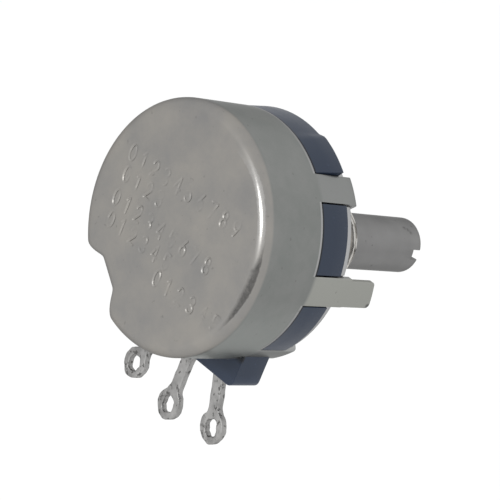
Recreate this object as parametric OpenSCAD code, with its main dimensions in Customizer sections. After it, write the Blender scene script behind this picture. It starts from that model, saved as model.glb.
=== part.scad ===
// Rotary potentiometer for panel mounting, built on a bench frame and laid into the part's frame.
// Bench frame: +Z runs out along the shaft, z = 0 is the face that meets the panel,
// the terminals point to -Y. The part's frame has the shaft along -Y and the terminals down.

/* [Cover] */
// Outside radius of the drawn cover
cover_r = 13.5; // [12.5:0.1:15]
// Distance from the panel face to the back of the cover
cover_back = 14.8; // [14.2:0.1:18]
// Distance from the panel face to the rim of the cover
cover_rim = 6.35; // [5.9:0.05:6.9]
// Thickness of the cover sheet
sheet = 0.5; // [0.35:0.05:0.6]
// Outside radius of the corner between the back and the wall
cover_corner = 1.2; // [0.8:0.1:2]

/* [Stop indent in the cover] */
// Angle of the indent from the terminal centreline, towards +X
indent_angle = 36.1; // [30:0.1:45]
// Distance from the shaft axis to the flat of the indent
indent_flat = 11.15; // [10.8:0.05:11.3]
// Half of the width of the flat
indent_half = 2.15; // [1.6:0.05:3]
// Half of the angle that the indent takes from the wall
indent_spread = 16.9; // [15.5:0.1:19]
// Distance from the panel face to the front end of the indent
indent_front = 9.3; // [9.2:0.1:9.7]

/* [Tabs and lug of the cover] */
// Width of a folded tab
tab_w = 3.05; // [2:0.05:4]
// Length of the folded part of a tab, measured in from the wall
tab_fold = 3; // [2:0.1:3.5]
// How far a folded tab stands off the front plate
tab_lift = 0.3; // [0.05:0.05:0.5]
// Width of the locating lug
lug_w = 3.35; // [2.4:0.05:4]
// Width of the lug past the front plate
lug_end_w = 3.05; // [2:0.05:3.3]
// How far the lug's end sits off its middle, towards the terminals
lug_shift = 0.1; // [0:0.02:0.12]
// How far the locating lug stands past the panel face, at its longer corner
lug_reach = 3.7; // [2:0.1:5]
// How much shorter the lug is at its other corner
lug_slant = 0.5; // [0:0.1:0.8]

/* [Front plate] */
// Radius of the front plate
plate_r = 13.1; // [13:0.1:14]
// Distance from the panel face to the back of the plate
plate_back = 2.35; // [2.2:0.05:2.5]
// Thickness of the plate
plate_t = 0.95; // [0.8:0.05:1.1]
// Radius of the raised middle that meets the panel
boss_r = 9.3; // [8.6:0.1:9.8]

/* [Base] */
// Radius of the moulded base
base_r = 13.45; // [12.5:0.05:14.5]
// Height of the shallow step opposite the terminals
crown_step = 0.25; // [0.1:0.05:0.5]
// Height of the shoulder between the crown and the tab on the lug's side
shoulder_step = 0.6; // [0.3:0.05:1]
// Half of the width of the terminal block
block_half = 8.75; // [7.8:0.05:9]
// Distance from the shaft axis to the bottom of the terminal block
block_reach = 14.1; // [13.8:0.1:15]
// Distance from the panel face to the inner face that carries the track
track_face = 8.3; // [8.1:0.05:8.7]
// Radius of the hole in the middle of the base
base_hole_r = 4.6; // [4.5:0.02:4.8]

/* [Bushing] */
// Outside radius of the threaded barrel
bushing_r = 4.7625; // [4.5:0.0125:4.8]
// Length of the barrel past the panel face
bushing_len = 9.53; // [6:0.01:12.7]
// Radius of the flange behind the plate
flange_r = 7.6; // [6.5:0.1:7.8]

/* [Shaft] */
// Radius of the shaft
shaft_r = 3.175; // [3:0.005:3.2]
// Distance from the panel face to the end of the shaft
shaft_len = 22.2; // [14:0.1:50]
// Width of the screwdriver slot
slot_w = 1.2; // [0.8:0.05:1.6]
// Depth of the screwdriver slot
slot_depth = 1.4; // [1:0.1:3]
// Radius of the flatted tail that carries the rotor
tail_r = 2.5; // [2.2:0.05:2.7]

/* [Rotor and contacts] */
// Radius of the rotor disc
rotor_r = 9.6; // [9.2:0.1:9.8]
// Angle from stop to stop
travel = 312; // [300:1:314]
// Turn away from the middle of the travel, clockwise from the front
rest_turn = 4.9; // [-90:0.1:90]
// Middle radius of the resistance track
track_mid_r = 8.8; // [8.6:0.05:8.85]
// Width of the resistance track
track_w = 2.2; // [1.8:0.1:2.3]
// Middle radius of the collector ring
collector_mid_r = 5.8; // [5.75:0.05:5.9]

/* [Terminals] */
// Angle between two terminals
terminal_pitch = 19.3; // [17.5:0.1:21]
// Distance from the shaft axis to the tip of a terminal
terminal_tip = 23.1; // [20:0.1:26]
// Distance from the panel face to the middle of the terminals
terminal_level = 4.5; // [4.3:0.05:5.2]
// Thickness of a terminal
terminal_t = 0.8; // [0.5:0.05:0.9]
// Width of a terminal's neck
neck_w = 1.6; // [1.2:0.1:1.8]
// Outside width of a terminal's eye
eye_w = 3.5; // [2.8:0.1:3.6]
// Width of the hole in the eye
eye_hole_w = 1.9; // [1.4:0.1:2.1]

/* [Hidden] */
$fn = 96;

eps = 0.01;
far = 40;

// Clearances
fit_gap = 0.03;      // pieces pressed or moulded together
slide_gap = 0.05;    // shaft in the bushing, washer on the shaft
seat_gap = 0.1;      // loose seats of sheet pieces
run_gap = 0.3;       // moving pieces beside fixed ones

// Cover
wall = round(1000 * sheet) / 1000;    // sheet to a thousandth, so that its inner faces meet exactly
cover_in_r = cover_r - wall;
tab_angles = [46.5, 133.5, 226.5, 313.5];
lug_angle = 180;
lug_corner = 0.4;
tab_top = plate_back - plate_t - tab_lift - wall;    // panel face to the outer face of a folded tab
indent_corner = [cover_r * sin(indent_spread), cover_r * cos(indent_spread)];
indent_slope = atan2(indent_corner[1] - indent_flat, indent_corner[0] - indent_half);
indent_phi = indent_angle - 90;

// Base
seat_r = cover_in_r - seat_gap;
notch_r = cover_in_r - seat_gap / 2;
crown_half = 13;
shoulder_half = 37;
block_corner = 0.8;

// Bushing, plate and flange
flange_t = 1.6;
flange_front = plate_t;
flange_back = flange_front + flange_t;
bushing_rear = flange_back + 0.35;
bushing_bore_r = shaft_r + slide_gap;
barrel_chamfer = 0.4;
relief_len = 0.8;
relief_depth = 0.4;

// Shaft, washer and ring
washer_t = 0.4;
ring_t = 0.6;
ring_r = base_hole_r - run_gap;
washer_back = bushing_rear + washer_t;
ring_back = washer_back + ring_t;
groove_r = shaft_r - 0.6;
ring_mouth = 2 * groove_r;
shaft_chamfer = 0.4;
neck_len = 0.8;                            // relief turned where the shaft leaves the bushing
neck_r = shaft_r - 0.25;
neck_end = bushing_len + 0.07;
tail_flat = 0.76 * tail_r;

// Rotor and contacts
track_t = 0.35;
spring_t = 0.25;
brush_t = 2;
brush_w = 2;
collector_w = 1.6;
spring_face = track_face + brush_t + spring_t;     // panel face to the rotor's front face
disc_t = 2;
rotor_back = spring_face + disc_t;
hub_r = base_hole_r - run_gap - 0.1;
hub_front = ring_back + 2.1;
nut_t = 0.4;
tail_end = rotor_back + nut_t + 0.4;
nose_r = cover_in_r - run_gap - 0.3;
mid_turn = -rest_turn;
wiper_phi = 90;
stop_at = indent_edge_angle(nose_r) + asin(run_gap / nose_r);
nose_half = (360 - travel) / 2 - stop_at;
nose_phi = indent_phi + 180;

// Track, terminals and rivets
track_end = 14;                                    // half of the gap between the track's ends
pad_r = cover_in_r - 0.8;
pad_w = 2.4;
rivet_r = 0.6;
rivet_head_r = 0.9;
rivet_head_t = 0.3;
track_rivet_at = track_mid_r + track_w / 2 + rivet_head_r + 0.6;
eye_r = eye_w / 2;
eye_long = 0.3;
block_slot_gap = fit_gap;
disc_back_t = 0.25;

// Half angle of the indent's inner face at a given distance from the shaft axis
function indent_edge_angle(r) =
    let (x0 = indent_half + wall * tan(indent_slope / 2), y0 = indent_flat - wall,
         c = cos(indent_slope), s = sin(indent_slope),
         b = x0 * c + y0 * s, q = x0 * x0 + y0 * y0 - r * r,
         k = -b + sqrt(b * b - q))
    atan2(x0 + k * c, y0 + k * s);

// Points of a small rounded corner
function arc_points(middle, r, from_angle, to_angle, steps = 4) =
    [for (k = [0:steps]) let (a = from_angle + (to_angle - from_angle) * k / steps)
        middle + r * [cos(a), sin(a)]];

// Lays a piece from the bench frame into the part's frame
module lay() {
    rotate([90, 0, 0]) children();
}

// Turns the moving pieces from the middle of the travel to where they rest
module turned() {
    rotate([0, 0, mid_turn]) children();
}

// Round bar between two distances behind the panel face
module bar(r, front, back) {
    translate([0, 0, -back]) cylinder(r = r, h = back - front);
}

// Ring between two distances behind the panel face
module washer(r_in, r_out, front, back) {
    difference() {
        bar(r_out, front, back);
        bar(r_in, front - eps, back + eps);
    }
}

// Flat shape given thickness between two distances behind the panel face
module slab(front, back) {
    translate([0, 0, -back]) linear_extrude(back - front) children();
}

// Flat wedge from the axis outwards
module wedge(from_angle, to_angle) {
    mid = (from_angle + to_angle) / 2;
    polygon([[0, 0], far * [cos(from_angle), sin(from_angle)],
        far * [cos(mid), sin(mid)], far * [cos(to_angle), sin(to_angle)]]);
}

// Flat sector around the axis
module sector(r, from_angle, to_angle) {
    intersection() {
        circle(r);
        wedge(from_angle, to_angle);
    }
}

// Strip that runs out from the axis along +X
module strip(width, r_from, r_to) {
    translate([r_from, -width / 2]) square([r_to - r_from, width]);
}

// Outline of the stop indent; grow moves it inwards by the sheet's thickness and more
module indent_outline(grow) {
    x0 = indent_half + grow * tan(indent_slope / 2);
    y0 = indent_flat - grow;
    x1 = x0 + far * cos(indent_slope);
    y1 = y0 + far * sin(indent_slope);
    rotate(indent_phi - 90) polygon([[-x0, y0], [x0, y0], [x1, y1], [-x1, y1]]);
}

// Half section of the cover's outer form
module cover_profile(r, back, corner) {
    square([r, back - corner]);
    square([r - corner, back]);
    translate([r - corner, back - corner]) circle(corner);
}

// Solid of the cover's outer form, less inset on every side
module cover_form(inset) {
    back = cover_back - inset;
    mirror([0, 0, 1]) rotate_extrude() intersection() {
        cover_profile(cover_r - inset, back, cover_corner - inset);
        translate([0, cover_rim]) square([far, far]);
    }
}

// Wall strip of the cover that runs forward beside the base
module wall_strip(width, to_front) {
    intersection() {
        washer(cover_in_r, cover_r, -to_front, cover_rim + eps);
        slab(-to_front, cover_rim + eps) strip(width, 0, far);
    }
}

// Tab folded over the front plate
module folded_tab() {
    wall_strip(tab_w, -tab_top);
    slab(tab_top, tab_top + wall) intersection() {
        circle(cover_r);
        strip(tab_w, cover_r - tab_fold, far);
    }
}

// Straight lug that keys into a hole in the panel, narrower past the front plate
module locating_lug() {
    low = lug_shift - lug_end_w / 2 + lug_corner;
    high = lug_shift + lug_end_w / 2 - lug_corner;
    low_end = lug_reach - lug_slant - lug_corner;
    high_end = lug_reach - lug_corner;
    tilt = 90 + atan2(lug_slant, high - low);
    intersection() {
        wall_strip(lug_w, lug_reach);
        rotate([90, 0, 90]) linear_extrude(far) {
            translate([-lug_w / 2, -cover_back]) square([lug_w, cover_back - tab_top]);
            polygon(concat([[high + lug_corner, -cover_back]],
                arc_points([high, high_end], lug_corner, 0, tilt),
                arc_points([low, low_end], lug_corner, tilt, 180),
                [[low - lug_corner, -cover_back]]));
        }
    }
}

module cover() {
    color([0.62, 0.62, 0.59]) lay() {
        difference() {
            union() {
                difference() {
                    cover_form(0);
                    cover_form(wall);
                    bar(cover_in_r, cover_rim - eps, cover_rim + 1);
                }
                intersection() {
                    cover_form(0);
                    slab(indent_front - wall, cover_back) indent_outline(wall);
                }
            }
            slab(indent_front, cover_back + 1) indent_outline(0);
        }
        for (a = tab_angles) rotate(a) folded_tab();
        rotate(lug_angle) locating_lug();
    }
}

module insulating_disc() {
    back = cover_back - wall;
    color([0.5, 0.42, 0.3]) lay() slab(back - disc_back_t, back) difference() {
        circle(cover_in_r - cover_corner);
        indent_outline(wall + seat_gap);
    }
}

// Outline of the base with its crown, shoulders and terminal block
module base_outline() {
    circle(base_r);
    sector(base_r + crown_step, 90 - shoulder_half, 90 + crown_half);
    sector(base_r + shoulder_step, 90 + crown_half, 90 + shoulder_half);
    translate([-block_half, -block_reach + block_corner])
        square([2 * block_half, block_reach - block_corner]);
    translate([-block_half + block_corner, -block_reach])
        square([2 * (block_half - block_corner), block_reach]);
    for (side = [-1, 1])
        translate([side * (block_half - block_corner), -block_reach + block_corner])
            circle(block_corner);
}

module base() {
    level = terminal_level - terminal_t / 2 - block_slot_gap;
    color([0.2, 0.22, 0.27]) lay() difference() {
        union() {
            difference() {
                slab(plate_back, cover_rim) base_outline();
                for (a = tab_angles) rotate(a) tab_notch(tab_w);
                rotate(lug_angle) tab_notch(lug_w);
            }
            bar(seat_r, cover_rim, track_face);
        }
        bar(base_hole_r, 0, track_face + 1);
        bar(flange_r + seat_gap, 0, flange_back + seat_gap);
        slab(track_face - track_t, track_face + 1) track_outline(fit_gap);
        washer(collector_mid_r - collector_w / 2 - fit_gap,
            collector_mid_r + collector_w / 2 + fit_gap, track_face - track_t, track_face + 1);
        for (side = [-1, 0, 1])
            rotate(-90 + side * terminal_pitch) {
                slab(level, level + terminal_t + 2 * block_slot_gap)
                    terminal_tail(rivet_at(side), block_slot_gap);
                translate([rivet_at(side), 0]) {
                    bar(rivet_r + fit_gap, level, track_face);
                    bar(rivet_head_r + fit_gap, level - rivet_head_t, level + eps);
                }
            }
    }
}

// Space cut in the base or the plate for a strip of the cover's wall
module tab_notch(width) {
    slab(0, cover_rim) difference() {
        strip(width + 2 * seat_gap, 0, far);
        circle(notch_r);
    }
}

// Where a terminal's rivet stands: the outer ones on the track's ends, the middle one on the ring
function rivet_at(side) = side == 0 ? collector_mid_r : track_rivet_at;

// Part of a terminal that lies inside the base
module terminal_tail(inner_r, gap) {
    strip(neck_w + 0.4 + 2 * gap, inner_r, far);
    translate([inner_r, 0]) circle(neck_w / 2 + 0.45 + gap);
}

module front_plate() {
    color([0.66, 0.66, 0.63]) lay() difference() {
        union() {
            bar(plate_r, plate_back - plate_t, plate_back);
            bar(boss_r, 0, plate_back);
        }
        bar(boss_r - plate_t, plate_t, plate_back + 1);
        bar(bushing_r + slide_gap, -1, plate_back);
        for (a = tab_angles) rotate(a) tab_notch(tab_w);
        rotate(lug_angle) tab_notch(lug_w);
    }
}

module bushing() {
    end_r = bushing_r - barrel_chamfer;
    root_r = bushing_r - relief_depth;
    color([0.7, 0.68, 0.6]) lay() rotate_extrude() polygon([
        [bushing_bore_r, -bushing_rear], [root_r, -bushing_rear], [root_r, -flange_back],
        [flange_r, -flange_back], [flange_r, -flange_front], [bushing_r, -flange_front],
        [bushing_r, -eps], [root_r, 0], [root_r, relief_len],
        [bushing_r, relief_len + relief_depth], [bushing_r, bushing_len - barrel_chamfer],
        [end_r, bushing_len], [bushing_bore_r, bushing_len]]);
}

// Round tail of the shaft with two flats; grow widens it for the hole it fits
module tail_outline(grow) {
    intersection() {
        circle(tail_r + grow);
        square([2 * far, 2 * (tail_flat + grow)], center = true);
    }
}

module shaft() {
    color([0.68, 0.68, 0.66]) lay() turned() difference() {
        union() {
            rotate_extrude() polygon([
                [0, -hub_front], [shaft_r, -hub_front], [shaft_r, -ring_back],
                [groove_r, -ring_back], [groove_r, -washer_back], [shaft_r, -washer_back],
                [shaft_r, neck_end - neck_len], [neck_r, neck_end - neck_len],
                [neck_r, neck_end], [shaft_r, neck_end],
                [shaft_r, shaft_len - shaft_chamfer], [shaft_r - shaft_chamfer, shaft_len],
                [0, shaft_len]]);
            slab(hub_front - eps, tail_end) tail_outline(0);
        }
        translate([-far / 2, -slot_w / 2, shaft_len - slot_depth]) cube([far, slot_w, far]);
    }
}

module thrust_washer() {
    color([0.72, 0.6, 0.35]) lay()
        washer(shaft_r + slide_gap, ring_r, bushing_rear, washer_back);
}

module retaining_ring() {
    color([0.45, 0.45, 0.47]) lay() turned() difference() {
        washer(groove_r + fit_gap, ring_r, washer_back, ring_back);
        slab(0, ring_back + 1) translate([0, -ring_mouth / 2]) square([far, ring_mouth]);
    }
}

module rotor() {
    rib_in = hub_r + 1.2;
    rib_out = rotor_r - 1.2;
    color([0.16, 0.14, 0.12]) lay() turned() difference() {
        union() {
            bar(rotor_r, spring_face, rotor_back);
            bar(hub_r, hub_front, rotor_back);
            slab(spring_face, rotor_back)
                sector(nose_r, nose_phi - nose_half, nose_phi + nose_half);
        }
        slab(0, rotor_back + 1) tail_outline(fit_gap);
        washer(rib_in, rib_out, rotor_back - 0.8, rotor_back + 1);
    }
}

module push_nut() {
    color([0.5, 0.5, 0.52]) lay() turned() slab(rotor_back, rotor_back + nut_t) difference() {
        circle(hub_r);
        tail_outline(fit_gap);
        for (k = [0:5]) rotate(30 + 60 * k) strip(0.5, 0, tail_r + 1);
    }
}

// Contacts face the track along the wiper's angle
module on_wiper() {
    lay() turned() rotate(wiper_phi) children();
}

module contact_spring() {
    arm_end = track_mid_r + brush_w / 2;
    color([0.78, 0.55, 0.3]) on_wiper() slab(spring_face - spring_t, spring_face) difference() {
        union() {
            circle(hub_r + 1);
            strip(brush_w + 0.6, 0, arm_end);
            rotate(180) sector(rotor_r - 1, -14, 14);
        }
        circle(hub_r + fit_gap);
    }
}

module track_brush() {
    color([0.13, 0.13, 0.14]) on_wiper() slab(track_face, spring_face - spring_t)
        translate([track_mid_r, 0]) square([brush_w, brush_w], center = true);
}

module collector_brush() {
    color([0.13, 0.13, 0.14]) on_wiper() slab(track_face, spring_face - spring_t)
        translate([collector_mid_r, 0]) square([collector_w - 0.4, collector_w], center = true);
}

// Track around the shaft, open towards the terminals, with a pad out to each end rivet
module track_outline(grow) {
    half = track_w / 2 + grow;
    from_angle = -90 + track_end;
    gap_angle = asin(grow / track_mid_r);
    difference() {
        circle(track_mid_r + half);
        circle(track_mid_r - half);
        wedge(-90 - track_end + gap_angle, from_angle - gap_angle);
    }
    for (side = [-1, 1])
        rotate(-90 + side * terminal_pitch)
            strip(pad_w + 2 * grow, track_mid_r, pad_r + grow);
}

module resistance_track() {
    color([0.09, 0.09, 0.1]) lay() difference() {
        slab(track_face - track_t, track_face) track_outline(0);
        for (side = [-1, 1])
            rotate(-90 + side * terminal_pitch) translate([track_rivet_at, 0])
                bar(rivet_r + fit_gap, 0, track_face + 1);
    }
}

module collector_ring() {
    color([0.75, 0.7, 0.55]) lay() difference() {
        washer(collector_mid_r - collector_w / 2, collector_mid_r + collector_w / 2,
            track_face - track_t, track_face);
        rotate(-90) translate([collector_mid_r, 0]) bar(rivet_r + fit_gap, 0, track_face + 1);
    }
}

// Flat solder terminal with an oval eye, side -1, 0 or 1
module terminal(side) {
    root_r = block_reach + 1.1;
    eye_at = terminal_tip - eye_r - eye_long;
    level = terminal_level - terminal_t / 2;
    color([0.72, 0.72, 0.69]) lay() rotate(-90 + side * terminal_pitch) difference() {
        slab(level, level + terminal_t) difference() {
            union() {
                intersection() {
                    terminal_tail(rivet_at(side), 0);
                    circle(root_r);
                }
                strip(neck_w, root_r - 1, eye_at);
                translate([eye_at, 0]) circle(eye_r);
                translate([eye_at + eye_long, 0]) circle(eye_r);
                strip(eye_w, eye_at, eye_at + eye_long);
            }
            translate([eye_at, 0]) circle(eye_hole_w / 2);
            translate([eye_at + eye_long, 0]) circle(eye_hole_w / 2);
            strip(eye_hole_w, eye_at, eye_at + eye_long);
        }
        translate([rivet_at(side), 0]) bar(rivet_r + fit_gap, 0, track_face);
    }
}

module terminal_left() {
    terminal(1);
}

module terminal_middle() {
    terminal(0);
}

module terminal_right() {
    terminal(-1);
}

// Rivet that ties a terminal to the track or to the collector ring
module rivet(side) {
    level = terminal_level - terminal_t / 2;
    color([0.76, 0.72, 0.6]) lay() rotate(-90 + side * terminal_pitch)
        translate([rivet_at(side), 0]) {
            bar(rivet_r, level - eps, track_face + eps);
            bar(rivet_head_r, level - rivet_head_t, level);
            bar(rivet_head_r, track_face, track_face + rivet_head_t);
        }
}

module rivet_left() {
    rivet(1);
}

module rivet_middle() {
    rivet(0);
}

module rivet_right() {
    rivet(-1);
}

cover();
insulating_disc();
base();
front_plate();
bushing();
shaft();
thrust_washer();
retaining_ring();
rotor();
push_nut();
contact_spring();
track_brush();
collector_brush();
resistance_track();
collector_ring();
terminal_left();
terminal_middle();
terminal_right();
rivet_left();
rivet_middle();
rivet_right();
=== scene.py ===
from math import asin, atan2, cos, degrees, floor, hypot, pi, radians, sin, sqrt

import bmesh
import bpy
from mathutils import Matrix, Vector, noise
from mathutils.geometry import delaunay_2d_cdt, tessellate_polygon


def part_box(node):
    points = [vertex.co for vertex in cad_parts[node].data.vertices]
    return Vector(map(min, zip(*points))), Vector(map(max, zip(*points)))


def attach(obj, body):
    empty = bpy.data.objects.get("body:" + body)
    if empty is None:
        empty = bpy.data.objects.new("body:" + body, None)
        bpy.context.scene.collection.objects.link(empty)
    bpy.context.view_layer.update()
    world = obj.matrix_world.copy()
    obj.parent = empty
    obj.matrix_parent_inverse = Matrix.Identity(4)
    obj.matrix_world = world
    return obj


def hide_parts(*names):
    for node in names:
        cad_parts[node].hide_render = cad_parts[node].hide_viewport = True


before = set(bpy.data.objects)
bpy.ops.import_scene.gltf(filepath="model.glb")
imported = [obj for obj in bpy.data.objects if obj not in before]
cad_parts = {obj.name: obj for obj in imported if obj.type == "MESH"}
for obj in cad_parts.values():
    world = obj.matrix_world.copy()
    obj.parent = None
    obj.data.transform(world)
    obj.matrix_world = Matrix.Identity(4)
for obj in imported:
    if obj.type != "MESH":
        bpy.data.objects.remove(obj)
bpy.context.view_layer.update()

MM = 0.001


# ---------------------------------------------------------------- sizes
# Bench frame of the maker, in millimetres: z runs out along the shaft from the face that meets
# the panel, the terminals point to -y. The model's own frame has the shaft along -Y.

def extent(node):
    """Lowest and highest corner of a node in the bench frame."""
    low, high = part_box(node)
    return ((low.x / MM, low.z / MM, -high.y / MM), (high.x / MM, high.z / MM, -low.y / MM))


COVER_LOW, COVER_HIGH = extent("cover")
PLATE_LOW = extent("front_plate")[0]
BASE_LOW = extent("base")[0]
SHAFT_LOW, SHAFT_HIGH = extent("shaft")
BUSH_LOW, BUSH_HIGH = extent("bushing")
LUG_LOW, LUG_HIGH = extent("terminal_middle")

COVER_R = COVER_HIGH[0]
BACK = COVER_LOW[2]                 # back face of the cover
LUG_END = COVER_HIGH[2]             # end of the locating lug
SHEET = 0.5
RIM = -6.35                         # rim of the cover, on the base
PLATE_R = 13.1
PLATE_BACK = PLATE_LOW[2]
PLATE_T = 0.95
PLATE_FRONT = PLATE_BACK + PLATE_T
BOSS_R = 9.3
BASE_R = 13.45
BASE_INNER = BASE_LOW[2]            # face of the base that carries the track
BLOCK_REACH = -BASE_LOW[1]
BLOCK_HALF = 8.75
BUSH_R = 4.7625
BUSH_END = BUSH_HIGH[2]
SHAFT_R = SHAFT_HIGH[0]
SHAFT_END = SHAFT_HIGH[2]
TAB_ANGLES = (46.5, 133.5, 226.5, 313.5)
TAB_W = 3.05
TAB_FOLD = 3.0
TAB_LIFT = 0.3                      # how far a folded tab stands off the plate
TAB_TOP = PLATE_BACK + PLATE_T + TAB_LIFT + SHEET
LUG_ANGLE = 180
LUG_W = 3.35
LUG_END_W = 3.05
LUG_SHIFT = 0.1                     # towards the terminals
LUG_SLANT = 0.5
STRIPS = [(a, TAB_W) for a in TAB_ANGLES] + [(LUG_ANGLE, LUG_W)]     # strips of wall past the rim
SEAT_GAP = 0.1                      # round the spigot and beside each strip
TERMINAL_PITCH = 19.3
TERMINAL_TOP = LUG_HIGH[2]
TERMINAL_UNDER = LUG_LOW[2]
TERMINAL_TIP = -LUG_LOW[1]


# ---------------------------------------------------------------- mesh tools

def to_model(point):
    """A bench point in millimetres as a point of the model, in metres."""
    return Vector((point[0] * MM, -point[2] * MM, point[1] * MM))


def keep_crisp(work, angle):
    """Smooths every face, but keeps the edges that turn by angle degrees or more crisp."""
    for face in work.faces:
        face.smooth = True
    for edge in work.edges:
        if len(edge.link_faces) == 2:
            edge.smooth = edge.calc_face_angle(pi) < radians(angle)


def make_piece(name, points, faces, smooth_angle=35):
    """A mesh object from bench points and faces, with outward normals and its crisp edges kept."""
    mesh = bpy.data.meshes.new(name)
    mesh.from_pydata([to_model(p) for p in points], [], faces)
    work = bmesh.new()
    work.from_mesh(mesh)
    bmesh.ops.remove_doubles(work, verts=work.verts, dist=0.0000005)
    bmesh.ops.dissolve_degenerate(work, edges=work.edges, dist=0.0000005)
    bmesh.ops.recalc_face_normals(work, faces=work.faces)
    keep_crisp(work, smooth_angle)
    work.to_mesh(mesh)
    work.free()
    piece = bpy.data.objects.new(name, mesh)
    bpy.context.scene.collection.objects.link(piece)
    return piece


def finish_piece(piece, node, body, material):
    """Puts a piece in place of a CAD node."""
    piece.data.materials.append(material)
    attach(piece, body)
    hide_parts(node)
    return piece


def on_circle(radius, angle):
    return (radius * cos(radians(angle)), radius * sin(radians(angle)))


def ring_at(radius, z, angles):
    """A round ring of points at a height."""
    return [(*on_circle(radius, a), z) for a in angles]


def turn_from(angle, middle):
    """Signed angle from middle to angle, within half a turn."""
    return (angle - middle + 180) % 360 - 180


def eased(value, start, end):
    """0 before start, 1 past end and a smooth rise between."""
    t = min(1.0, max(0.0, (value - start) / (end - start)))
    return t * t * (3 - 2 * t)


def spaced(start, end, step):
    """Values from start to end, evenly spaced at about step."""
    count = max(1, round(abs(end - start) / step))
    return [start + (end - start) * k / count for k in range(count + 1)]


def round_corner(radius, centre, from_angle, to_angle, steps=5):
    """Points of an arc in a section, as (distance out, height)."""
    return [(centre[0] + radius * cos(radians(a)), centre[1] + radius * sin(radians(a)))
            for a in spaced(from_angle, to_angle, abs(to_angle - from_angle) / steps)]


def inset(outline, amount):
    """A closed outline moved inwards by amount, square to its own edges."""
    count = len(outline)
    moved = []
    for i, (x, y) in enumerate(outline):
        ax, ay = outline[i - 1]
        bx, by = outline[(i + 1) % count]
        ux, uy = x - ax, y - ay
        vx, vy = bx - x, by - y
        lu, lv = max(hypot(ux, uy), 1e-9), max(hypot(vx, vy), 1e-9)
        nx, ny = -uy / lu - vy / lv, ux / lu + vx / lv
        length = max(hypot(nx, ny), 1e-9)
        half = max(0.5, length / 2)
        moved.append((x + nx / length * amount / half, y + ny / length * amount / half))
    return moved


def stack(name, rings, smooth_angle=35):
    """A closed solid from rings of points, each joined to the next and the last to the first."""
    count = len(rings[0])
    points = [p for ring in rings for p in ring]
    faces = []
    for k in range(len(rings)):
        a, b = k * count, ((k + 1) % len(rings)) * count
        for i in range(count):
            j = (i + 1) % count
            faces.append((a + i, a + j, b + j, b + i))
    return make_piece(name, points, faces, smooth_angle)


def turned(name, section, count=128, smooth_angle=35):
    """A solid turned on the axis from a closed section of (radius, height) points."""
    angles = [360 * i / count for i in range(count)]
    return stack(name, [ring_at(r, z, angles) for r, z in section], smooth_angle)


# ---------------------------------------------------------------- shader tools

def shader_math(operation, swapped=False):
    """A method that joins a shader value and another in a math node."""
    def method(self, other):
        a, b = (other, self) if swapped else (self, other)
        return self.finish.node("ShaderNodeMath", {"operation": operation}, {0: a, 1: b})
    return method


class Signal:
    """A shader value that can be added, multiplied and so on like a number."""

    def __init__(self, finish, socket):
        self.finish = finish
        self.socket = socket

    __add__ = shader_math("ADD")
    __radd__ = shader_math("ADD", True)
    __sub__ = shader_math("SUBTRACT")
    __rsub__ = shader_math("SUBTRACT", True)
    __mul__ = shader_math("MULTIPLY")
    __rmul__ = shader_math("MULTIPLY", True)
    __pow__ = shader_math("POWER")
    at_least = shader_math("MAXIMUM")
    at_most = shader_math("MINIMUM")

    def clamped(self):
        return self.at_least(0.0).at_most(1.0)

    def absolute(self):
        return self.finish.node("ShaderNodeMath", {"operation": "ABSOLUTE"}, {0: self})


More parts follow.
